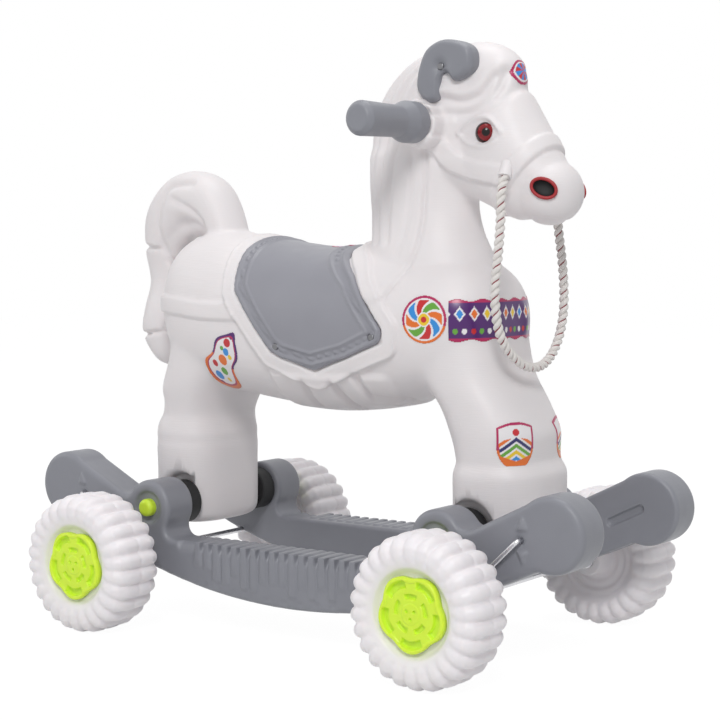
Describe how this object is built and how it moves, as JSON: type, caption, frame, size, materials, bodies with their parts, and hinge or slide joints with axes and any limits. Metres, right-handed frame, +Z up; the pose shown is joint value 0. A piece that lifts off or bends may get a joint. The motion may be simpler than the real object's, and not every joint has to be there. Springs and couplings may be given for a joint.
{
  "type": "ride-on horse on wheels",
  "caption": "Moulded ride-on rocking horse on detachable-swing treaded wheels, with a grey saddle, curled ears, cross handle, rein rope and ribbed rockers.",
  "frame": {"origin": "on the ground, midway between the four wheels", "axes": "+X towards the horse's head, +Z up, -Y the horse's right-hand side"},
  "size_m": [0.709, 0.412, 0.6199],
  "materials": {
    "shell": "fine grained",
    "grey": "satin",
    "lime": "satin",
    "black": "satin",
    "wheel": "satin",
    "eye": "glossy",
    "pupil": "glossy",
    "nostril_rim": "satin",
    "steel": "zinc plated",
    "rope": "twisted cord"
  },
  "bodies": {
    "horse": {"horse_shell": "shell", "saddle": "grey", "saddle_screws": "steel", "ear_screws": "steel", "pupils": "pupil", "nostril_cups": "black", "nostril_rims": "nostril_rim", "handle_bar": "steel", "rein_rope": "rope", "rein_eyelets": "shell", "leg_nuts": "steel", "leg_washers": "steel", "bolt_caps": "lime", "ear_right": "grey", "eye_right": "eye", "grip_right": "grey", "rocker_right": "grey", "ear_left": "grey", "eye_left": "eye", "grip_left": "grey", "rocker_left": "grey", "front_leg_bolt": "steel", "front_spacer_tube": "steel", "front_leg_bushes": "black", "rear_leg_bolt": "steel", "rear_spacer_tube": "steel", "rear_leg_bushes": "black"},
    "front_axle_swing": {"front_axle": "steel", "front_link_right": "steel", "front_link_left": "steel", "front_axle_washers": "steel", "front_push_nuts": "steel"},
    "front_right_wheel": {"tyre_front_right": "wheel", "hub_plate_front_right": "lime", "wheel_bush_front_right": "black"},
    "front_left_wheel": {"tyre_front_left": "wheel", "hub_plate_front_left": "lime", "wheel_bush_front_left": "black"},
    "rear_axle_swing": {"rear_axle": "steel", "rear_link_right": "steel", "rear_link_left": "steel", "rear_axle_washers": "steel", "rear_push_nuts": "steel"},
    "rear_right_wheel": {"tyre_rear_right": "wheel", "hub_plate_rear_right": "lime", "wheel_bush_rear_right": "black"},
    "rear_left_wheel": {"tyre_rear_left": "wheel", "hub_plate_rear_left": "lime", "wheel_bush_rear_left": "black"}
  },
  "joints": [
    {"name": "front_swing", "type": "hinge", "parent": "horse", "child": "front_axle_swing", "pos_m": [0.287, 0, 0.138], "axis": [0, -1, 0], "range_deg": [0, 245]},
    {"name": "front_right_wheel_spin", "type": "hinge", "parent": "front_axle_swing", "child": "front_right_wheel", "pos_m": [0.22, -0.174, 0.075], "axis": [0, 1, 0], "continuous": true},
    {"name": "front_left_wheel_spin", "type": "hinge", "parent": "front_axle_swing", "child": "front_left_wheel", "pos_m": [0.22, 0.174, 0.075], "axis": [0, 1, 0], "continuous": true},
    {"name": "rear_swing", "type": "hinge", "parent": "horse", "child": "rear_axle_swing", "pos_m": [-0.287, 0, 0.138], "axis": [0, 1, 0], "range_deg": [0, 245]},
    {"name": "rear_right_wheel_spin", "type": "hinge", "parent": "rear_axle_swing", "child": "rear_right_wheel", "pos_m": [-0.22, -0.174, 0.075], "axis": [0, 1, 0], "continuous": true},
    {"name": "rear_left_wheel_spin", "type": "hinge", "parent": "rear_axle_swing", "child": "rear_left_wheel", "pos_m": [-0.22, 0.174, 0.075], "axis": [0, 1, 0], "continuous": true}
  ]
}
